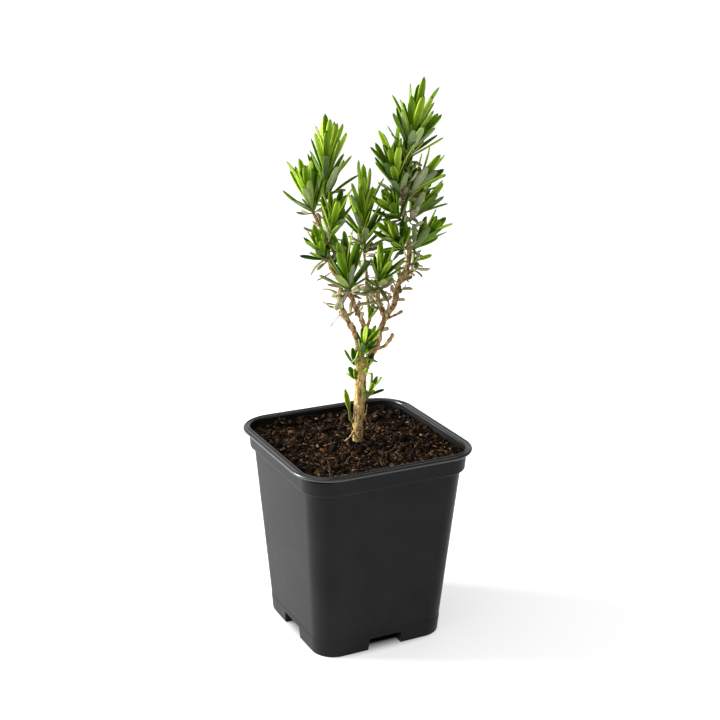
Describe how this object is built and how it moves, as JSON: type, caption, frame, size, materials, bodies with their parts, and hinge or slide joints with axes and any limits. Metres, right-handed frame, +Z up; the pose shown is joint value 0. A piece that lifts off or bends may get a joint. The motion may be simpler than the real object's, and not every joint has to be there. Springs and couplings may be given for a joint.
{
  "type": "potted lavender",
  "caption": "Young woody lavender plant with narrow green leaves, standing in dark potting soil in a square tapered black nursery pot.",
  "frame": {"origin": "on the ground under the middle of the square pot", "axes": "+Z up along the plant, X and Y square to the pot's sides"},
  "size_m": [0.09, 0.09, 0.2632],
  "materials": {
    "pot": "satin black moulded polypropylene",
    "soil": "dark crumbly peat, matte",
    "bark": "tan flaking bark, matte",
    "leaf": "soft green leaf, satin"
  },
  "bodies": {
    "root": {"pot": "pot", "soil": "soil", "woody_stem": "bark", "shoot_left_top": "leaf", "shoot_left_outer": "leaf", "shoot_left_inner": "leaf", "shoot_left_low": "leaf", "shoot_centre_left": "leaf", "shoot_centre": "leaf", "shoot_centre_right": "leaf", "shoot_right_low_inner": "leaf", "shoot_right_low_outer": "leaf", "shoot_right_mid_inner": "leaf", "shoot_right_mid_outer": "leaf", "shoot_right_upper": "leaf", "shoot_right_inner": "leaf", "shoot_right_top": "leaf", "shoot_right_lowest": "leaf", "sprout_fork": "leaf", "sprout_trunk_right": "leaf", "sprout_trunk_low": "leaf"}
  },
  "joints": []
}
